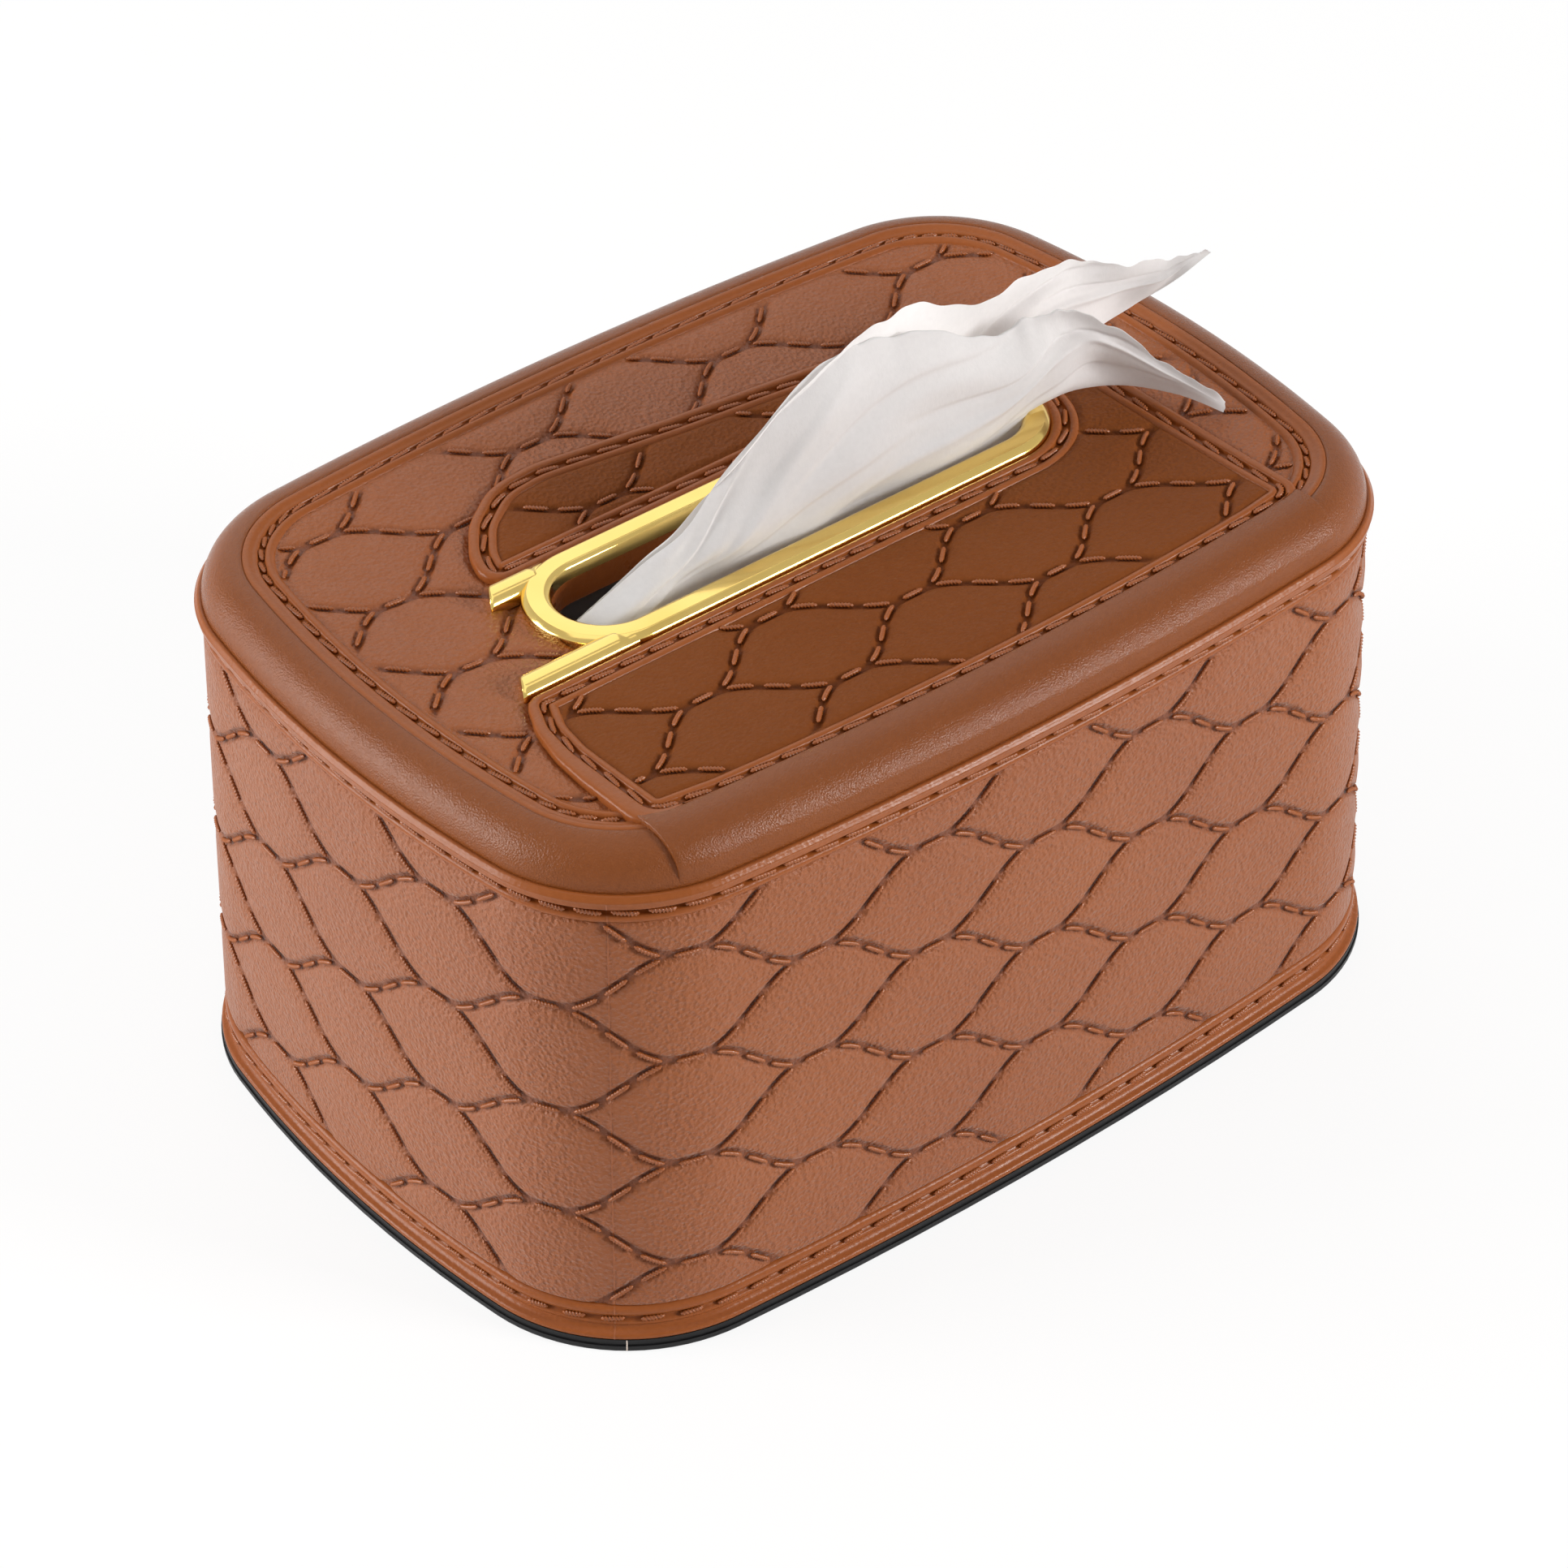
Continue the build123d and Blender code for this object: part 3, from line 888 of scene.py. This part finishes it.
def build_flap_roll():
    """The flap where it runs over the roll, with its thin side edges."""
    behind = [
        (10.4, 120.41), (11.2, 120.36), (12.0, 120.26), (12.6, 120.12), (12.9, 119.95),
        (13.0, 119.7), (13.05, 118.7),
    ]
    cols = 330
    # how far outside the flap's side, and how deep, its edge's points lie
    margin, edge_sink = np.array([0.32, 0.3, 0.16]), np.array([1.5, 0.25, 0.06])
    sink = np.concatenate([edge_sink, np.zeros(cols), edge_sink[::-1]])
    points = []
    for inset, z in roll_rows(flap_rise, 4.0, 90.0, 22) + behind:
        z_wall = min(z, 119.0)
        left, right = w_at_x(FLAP_LEFT, inset, z_wall), w_at_x(FLAP_RIGHT, inset, z_wall)
        w = np.concatenate([left - margin, np.linspace(left, right, cols), right + margin[::-1]])
        a = np.arctan2(z - ROLL_Z, max(ROLL_CENTRE - inset, 0.0))
        p, _ = wall_point(w, z - sink * np.sin(a), inset + sink * np.cos(a))
        points.append(p)
    grid_piece("flap_roll", np.array(points), False, *on_cover(satin_brown))


def stadium(radius, count):
    """Closed path around the slot's centre line, from the front's middle, and its normals."""
    straight, arc = RIGHT_CENTRE - LEFT_CENTRE, np.pi * radius
    total = 2 * (straight + arc)
    s = (np.arange(count) * total / count - straight / 2) % total
    # the path turns on its two arcs and its centre moves on its two straights
    turned = np.clip(s, 0, arc) + np.clip(s - arc - straight, 0, arc)
    moved = np.clip(s - arc, 0, straight) - np.clip(s - 2 * arc - straight, 0, straight)
    angle = turned / radius - np.pi / 2
    normal = np.stack([np.cos(angle), np.sin(angle)], -1)
    return np.stack([RIGHT_CENTRE - moved, 0 * s], -1) + radius * normal, normal


def slot_sweep(rows, count):
    """Sweeps (radius, z) rows around the slot's centre line."""
    middle_radius = (TRIM_INNER + TRIM_OUTER) / 2
    middle, normal = stadium(middle_radius, count)
    out = []
    for radius, z in rows:
        out.append(at_height(middle + normal * (radius - middle_radius), z))
    return np.array(out)


def build_inside():
    """Underside of the cover: walls, ceiling, collar around the slot."""
    inner = [(3.7, 2.9), (3.7, 60.0), (3.7, 110.2), (7.7, 114.2)]
    cols = 260
    w = np.arange(cols) * GIRTH / cols
    rows = [wall_point(w, z, inset)[0] for inset, z in inner]
    collar = [
        (11.4, 114.2), (11.4, 110.8), (11.2, 110.6), (10.6, 110.6), (10.4, 110.8), (10.4, 116.4),
        (12.0, 116.4),
    ]
    rows.extend(slot_sweep(collar, cols))
    inside = on_cover(smooth_brown)
    grid_piece("cover_inside", np.array(rows), True, *inside, auto=35, flip=True)


# ---- trim ---------------------------------------------------------------------
ON_TRIM = ("cover", "plated_trim", gold, "slot_trim")
BAR_START = -49.5


def build_trim():
    z0, z1 = 116.2, 119.7
    section = [
        (10.45, z0), (10.35, z0 + 1.6), (10.6, z1 - 0.95), (10.75, z1 - 0.62), (11.4, z1 - 0.16),
        (11.7, z1 - 0.04), (12.0, z1), (13.4, z1 + 0.02), (14.7, z1), (15.0, z1 - 0.05),
        (15.25, z1 - 0.18), (16.05, z1 - 0.85), (16.22, z1 - 1.05), (16.3, z1 - 1.4), (16.3, z0),
        (10.45, z0),
    ]
    grid_piece("trim_ring", slot_sweep(section, 300), True, *ON_TRIM, auto=50)
    # the bars end obliquely: x_inner and x_outer are the ends of their two edges
    for name, side, x_inner, x_outer in (("front", -1, -73.9, -77.0), ("back", 1, -65.0, -61.6)):
        cols = 60
        t = np.linspace(0, 1, cols)
        bar = [
            (10.35, z0, 0), (10.35, z1 - 1.5, 0), (10.5, z1 - 1.1, 0), (11.1, z1 - 0.5, 1),
            (11.7, z1 - 0.1, 1), (12.5, z1 + 0.12, 1), (13.4, z1 + 0.18, 1), (14.4, z1 + 0.1, 1),
            (15.1, z1 - 0.1, 1), (15.45, z1 - 0.3, 1), (16.05, z1 - 0.85, 0), (16.22, z1 - 1.05, 0),
            (16.3, z1 - 1.4, 0), (16.3, z0, 0),
        ]
        rows = []
        for off, z, domed in bar:
            share = (off - TRIM_INNER) / (TRIM_OUTER - TRIM_INNER)
            x_end = x_inner * (1 - share) + x_outer * share
            x = x_end + (BAR_START - x_end) * t
            blend = smooth((-51.5 - x) / 1.6)
            drop = 0.3 * (1 - blend) * domed
            end = 1 - np.clip((x - x_end) / 0.7, 0, 1)
            roundish = 0.45 * end**2 * (z > z1 - 1.2)
            rows.append(np.stack([x, np.full(cols, side * off), z - drop - roundish], -1))
        faces = grid_faces(len(bar), cols)
        if side > 0:
            faces = faces[:, ::-1]
        faces = faces.tolist()
        cap = [i * cols for i in range(len(bar))]
        faces.append(cap if side < 0 else cap[::-1])
        piece(f"trim_bar_{name}", np.array(rows), faces, *ON_TRIM, auto=50)


# ---- tissues ------------------------------------------------------------------
STACK_HALF = np.array([95.0, 52.0])
STACK_CORNER = 5.0
STACK_LOW, STACK_HIGH, STACK_EDGES = 3.2, 75.2, 97


def build_stack():
    outline = []
    for sx, sy, first in ((1, -1, -90), (1, 1, 0), (-1, 1, 90), (-1, -1, 180)):
        t = np.radians(np.linspace(first, first + 90, 7))
        centre = (STACK_HALF - STACK_CORNER) * (sx, sy)
        outline.append(centre + STACK_CORNER * np.stack([np.cos(t), np.sin(t)], -1))
    loop = np.concatenate(outline)
    closed = np.concatenate([loop, loop[:1]])
    count = 240
    p = walk(closed, np.arange(count) * length_of(closed) / count)
    t = np.roll(p, -1, 0) - np.roll(p, 1, 0)
    n = np.stack([t[:, 1], -t[:, 0]], -1)
    n /= np.linalg.norm(n, axis=1, keepdims=True)
    angle = np.arange(count) * 2 * np.pi / count
    rows = []
    for i, level in enumerate(np.linspace(STACK_LOW, STACK_HIGH, STACK_EDGES)):
        fold_in = 0.15 + 0.55 * (i % 2) + 0.25 * rng.random()
        ripple = 0.2 * np.sin(angle * rng.integers(3, 9) + rng.uniform(0, 6))
        q = p - n * (fold_in + np.abs(ripple))[:, None]
        rows.append(at_height(q, level))
    # the top closes in rings, each a share of the one before
    for share in (0.96, 0.6, 0.3, 0.02):
        q = rows[-1][:, :2] * share
        wave = 0.15 * np.sin(q[:, 0] / 9.0) * np.cos(q[:, 1] / 13.0)
        rows.append(at_height(q, STACK_HIGH - 0.3 + wave))
    points = np.array(rows)
    grid_piece("tissue_stack_folds", points, True, "base", "tissue", paper_stack, "tissue_stack")


# Stations along the pulled tissue, from the slot's left end to the tip of its wing: X, Y, Z of
# the layer's lower edge and of its upper edge.
FRONT_LAYER = [
    (-59.5, -5.0, 113.5, -57.0, -1.5, 115.5),
    (-45.0, -8.8, 116.5, -38.0, -1.0, 123.0),
    (-31.0, -6.0, 117.5, -25.0, -1.5, 127.5),
    (-18.0, -6.0, 117.0, -10.0, -2.0, 140.0),
    (-1.0, -9.3, 118.5, 7.5, -2.0, 149.5),
    (16.5, -8.5, 118.5, 27.0, -3.0, 149.0),
    (43.0, -9.2, 118.5, 50.0, -4.0, 139.5),
    (59.5, -6.5, 120.5, 62.5, -5.5, 139.5),
    (72.5, -8.5, 120.5, 71.5, -9.5, 137.0),
    (81.5, -22.5, 121.0, 81.0, -19.5, 127.5),
    (84.5, -33.5, 121.0, 86.5, -31.5, 122.5),
]
BACK_LAYER = [
    (-57.0, -1.5, 115.5, -57.0, -1.5, 115.5),
    (-39.0, 0.5, 113.0, -38.0, -1.0, 123.0),
    (-23.5, 1.5, 113.0, -25.0, -1.5, 127.5),
    (-7.5, 1.5, 113.0, -10.0, -2.0, 140.0),
    (8.0, 1.5, 113.0, 7.5, -2.0, 149.5),
    (29.5, 1.5, 113.0, 27.0, 0.0, 152.5),
    (49.0, 1.5, 114.5, 51.0, 3.0, 142.5),
    (68.0, 1.0, 123.0, 72.0, 5.0, 142.5),
    (85.5, 2.0, 124.0, 87.0, 2.0, 138.0),
    (94.5, 0.0, 127.5, 99.0, -3.0, 136.5),
    (103.5, -8.0, 138.5, 103.5, -8.0, 139.0),
]


def splined(rows, count):
    """Smooth curve through rows of values, resampled to count rows."""
    rows = np.asarray(rows, float)
    n = len(rows)
    at = np.linspace(0, n - 1, count)
    i = np.clip(at.astype(int), 0, n - 2)
    t = (at - i).reshape((-1,) + (1,) * (rows.ndim - 1))
    p0, p1 = rows[np.maximum(i - 1, 0)], rows[i]
    p2, p3 = rows[i + 1], rows[np.minimum(i + 2, n - 1)]
    return 0.5 * (
        2 * p1
        + (p2 - p0) * t
        + (2 * p0 - 5 * p1 + 4 * p2 - p3) * t**2
        + (3 * p1 - p0 - 3 * p2 + p3) * t**3
    )


def folds(s, t, waves, creases):
    """Height of soft waves and of creases drawn across a layer; s runs along it and t up it."""
    total = 0 * s * t
    for along, across, phase, size in waves:
        total = total + size * np.sin(2 * np.pi * (along * s + across * t) + phase)
    for s0, t0, s1, t1, width, size in creases:
        run = np.array([(s1 - s0) * 4, t1 - t0])
        px, py = (s - s0) * 4, t - t0
        k = np.clip((px * run[0] + py * run[1]) / (run @ run), 0, 1)
        off = (px * run[1] - py * run[0]) / np.hypot(*run)
        past = np.hypot(px - k * run[0], py - k * run[1])
        ridge = np.exp(-((past / width) ** 2)) * np.sin(np.pi * np.clip(0.1 + 0.8 * k, 0, 1))
        total = total + size * ridge * np.where(off > 0, 1.0, np.exp(-((off / width * 1.8) ** 2)))
    return total


FRONT_WAVES = [
    (2.2, 0.5, 0.4, 0.5), (4.5, 0.9, 2.0, 0.35), (7.5, -1.2, 4.1, 0.22), (1.2, 1.8, 5.0, 0.3),
]
FRONT_CREASES = [
    (0.10, 0.05, 0.30, 0.9, 0.10, 0.8), (0.20, 0.0, 0.42, 0.85, 0.08, -0.7),
    (0.36, 0.35, 0.62, 0.95, 0.07, 0.7), (0.46, 0.1, 0.80, 0.72, 0.06, -0.7),
    (0.52, 0.45, 0.85, 0.85, 0.05, 0.7), (0.62, 0.08, 0.92, 0.45, 0.07, 0.6),
    (0.28, 0.05, 0.52, 0.35, 0.06, 0.5), (0.74, 0.75, 0.97, 0.55, 0.06, -0.6),
]
BACK_WAVES = [(2.6, 0.6, 1.0, 0.6), (5.5, 0.7, 3.0, 0.35), (9.0, -0.8, 0.7, 0.18)]
BACK_CREASES = [
    (0.55, 0.5, 0.78, 0.95, 0.07, 0.8), (0.62, 0.4, 0.95, 0.6, 0.07, -0.8),
    (0.70, 0.6, 0.98, 0.8, 0.05, 0.6),
]


def layer_points(stations, cols, rows, bulge, waves, creases):
    """Grid of one layer: rows from its lower to its upper edge."""
    line = splined(stations, cols)
    t = np.linspace(0, 1, rows)[:, None]
    low, high = line[None, :, :3], line[None, :, 3:]
    points = low + (high - low) * t[..., None]
    s = np.linspace(0, 1, cols)[None, :]
    height = np.linalg.norm(high - low, axis=2)
    points[..., 1] -= bulge * np.sin(np.pi * t**0.8) * np.clip(height / 28.0, 0, 1)
    points[..., 1] += 1.25 * folds(s, t, waves, creases) * np.clip(height / 14.0, 0.1, 1.2)
    ragged = 0.35 * np.sin(s * 61) + 0.3 * np.sin(s * 97 + 1) + 0.2 * np.sin(s * 173 + 2)
    points[..., 2] += ragged * t**6 * np.clip((s - 0.3) * 5, 0, 1)
    return points


TISSUE_ROOT_Z = 75.6


def tail(mouth, reach, y_slot, y_root):
    """Rows that run on from a layer's lower edge, through the slot and down to the stack."""
    x, y, z = mouth.T
    rows = []
    for k in np.linspace(1, 0, 14)[:-1]:
        aim = y_slot + k * (y_root - y_slot) + 0.5 * np.sin(x / 4.0)
        y_in = y + min(k / 0.2, 1.0) * (aim - y)
        inner = np.stack([x * (1 - 0.4 * k), y_in, z + (TISSUE_ROOT_Z - z) * k], -1)
        rows.append(mouth + (inner - mouth) * reach)
    return np.array(rows)


def build_tissue():
    """Tissue pulled half out of the slot: two layers that share their left fold."""
    cols, rows = 240, 60
    front = layer_points(FRONT_LAYER, cols, rows, 3.0, FRONT_WAVES, FRONT_CREASES)
    back = layer_points(BACK_LAYER, cols, rows, -1.0, BACK_WAVES, BACK_CREASES)
    s = np.linspace(0, 1, cols)
    # the front layer turns over softly behind its upper edge
    over = smooth((s - 0.44) / 0.05)[:, None]
    curl = []
    for step, drop in ((0.5, 0.1), (1.0, 0.45), (1.4, 1.1), (1.6, 2.2)):
        curl.append(front[-1] + over * np.array([0.0, step, -drop]))
    reach = np.clip((0.67 - s) / 0.03, 0, 1)[:, None]
    front = np.concatenate([tail(front[0], reach, -8.2, -5.5), front, np.array(curl)])
    back = np.concatenate([tail(back[0], reach, 0.5, -1.5), back])
    verts = np.concatenate([front.reshape(-1, 3), back.reshape(-1, 3)])
    f1, f2 = grid_faces(len(front), cols), grid_faces(len(back), cols) + len(front) * cols
    faces = np.concatenate([f1, f2]).tolist()
    obj = piece("pulled_tissue_sheet", verts, faces, "tissue", "tissue", paper, "pulled_tissue")
    tidy_mesh(obj.data, 0.00012)


def tidy_mesh(mesh, distance):
    """Joins points that lie together and drops faces without area."""
    b = bmesh.new()
    b.from_mesh(mesh)
    bmesh.ops.remove_doubles(b, verts=b.verts, dist=distance)
    bmesh.ops.dissolve_degenerate(b, edges=b.edges, dist=distance / 10)
    b.to_mesh(mesh)
    b.free()
    mesh.polygons.foreach_set("use_smooth", [True] * len(mesh.polygons))


build_wall()
build_rim()
build_ring_border()
build_flash()
build_lid()
build_flap_border()
build_flap_roll()
build_inside()
build_trim()
build_stack()
build_tissue()
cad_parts["base_tray"].data.materials.clear()
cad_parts["base_tray"].data.materials.append(black)


# ---- room, light and camera ---------------------------------------------------
def build_room():
    size = 3.0
    corners = [(-size, -size, 0), (size, -size, 0), (size, size, 0), (-size, size, 0)]
    mesh = bpy.data.meshes.new("floor")
    mesh.from_pydata(corners, [], [(0, 1, 2, 3)])
    floor = new_object("floor", mesh)
    m = Nodes("studio_floor")
    m.colour(m.mix(m.noise(3.0), (0.93, 0.93, 0.93, 1), (0.95, 0.95, 0.95, 1)))
    m.set(Roughness=0.9, IOR=1.2)
    # seen directly or mirrored, the floor is mostly plain white and keeps a faint shadow
    ray = m.add("ShaderNodeLightPath")
    seen = m.math("MAXIMUM", ray.outputs["Is Camera Ray"], ray.outputs["Is Glossy Ray"])
    m.blend(m.math("MULTIPLY", seen, 0.86), "ShaderNodeEmission", Strength=1.0)
    mesh.materials.append(m.material)


LAMP_TINT = (1.0, 0.985, 0.965)
LAMP_AIM = np.array([0.0, 0.0, 0.06])
GLOSS_LIFT = 0.4


def area_light(name, place, size, power):
    """Square lamp that shines at the box; lengths in metres, power in watts."""
    data = bpy.data.lights.new(name, "AREA")
    data.shape = "RECTANGLE"
    data.size = data.size_y = size
    data.energy = power
    data.color = LAMP_TINT
    back = np.array(place) - LAMP_AIM
    back /= np.linalg.norm(back)
    right = np.cross([0, 0, 1.0], back)
    right /= np.linalg.norm(right)
    new_object(name, data).matrix_world = frame_matrix(right, back, place)


def frame_matrix(right, back, place):
    """Pose of a lamp or camera from its right and backward directions and its place."""
    columns = np.stack([right, np.cross(back, right), back, place], -1)
    return Matrix([*columns.tolist(), (0, 0, 0, 1)])


def build_light():
    world = bpy.data.worlds.new("studio")
    bpy.context.scene.world = world
    world.use_nodes = True
    tree = world.node_tree
    # bright near the horizon, dimmer overhead
    place = add_node(tree, "ShaderNodeTexCoord").outputs["Generated"]
    height = add_node(tree, "ShaderNodeSeparateXYZ", {0: place}).outputs[2]
    limits = {"From Min": 0.0, "From Max": 0.5, "To Min": 0.5, "To Max": 0.28}
    level = add_node(tree, "ShaderNodeMapRange", {"Value": height, **limits}).outputs[0]
    # mirrored, the room is nearly white
    mirrored = add_node(tree, "ShaderNodeLightPath").outputs["Is Glossy Ray"]
    terms = {0: mirrored, 1: GLOSS_LIFT, 2: level}
    strength = add_node(tree, "ShaderNodeMath", terms, operation="MULTIPLY_ADD").outputs[0]
    background = tree.nodes["Background"]
    background.inputs[0].default_value = (*LAMP_TINT, 1)
    tree.links.new(strength, background.inputs[1])
    area_light("top", (-0.1, 0.1, 1.5), 1.3, 4)
    area_light("key", (0.5, 1.2, 1.15), 1.3, 4.3)
    area_light("left", (-1.25, 0.8, 0.5), 0.9, 25)
    area_light("front", (0.85, -1.3, 0.72), 0.5, 24)


# The photograph's camera: focal length and picture width in pixels, directions, place in metres.
FOCAL_PIXELS, PHOTO_PIXELS = 6325.71, 1932
CAMERA_RIGHT = (0.778039, -0.628091, -0.012516)
CAMERA_BACK = (-0.485444, -0.613744, 0.622595)
CAMERA_PLACE = (-0.511112, -0.643077, 0.702404)


def build_camera():
    data = bpy.data.cameras.new("camera")
    data.sensor_width = 36.0
    data.lens = FOCAL_PIXELS / PHOTO_PIXELS * data.sensor_width
    data.clip_end = 20.0
    camera = new_object("camera", data)
    camera.matrix_world = frame_matrix(CAMERA_RIGHT, CAMERA_BACK, CAMERA_PLACE)
    bpy.context.scene.camera = camera


build_room()
build_light()
build_camera()
bpy.context.scene.view_settings.view_transform = "Standard"
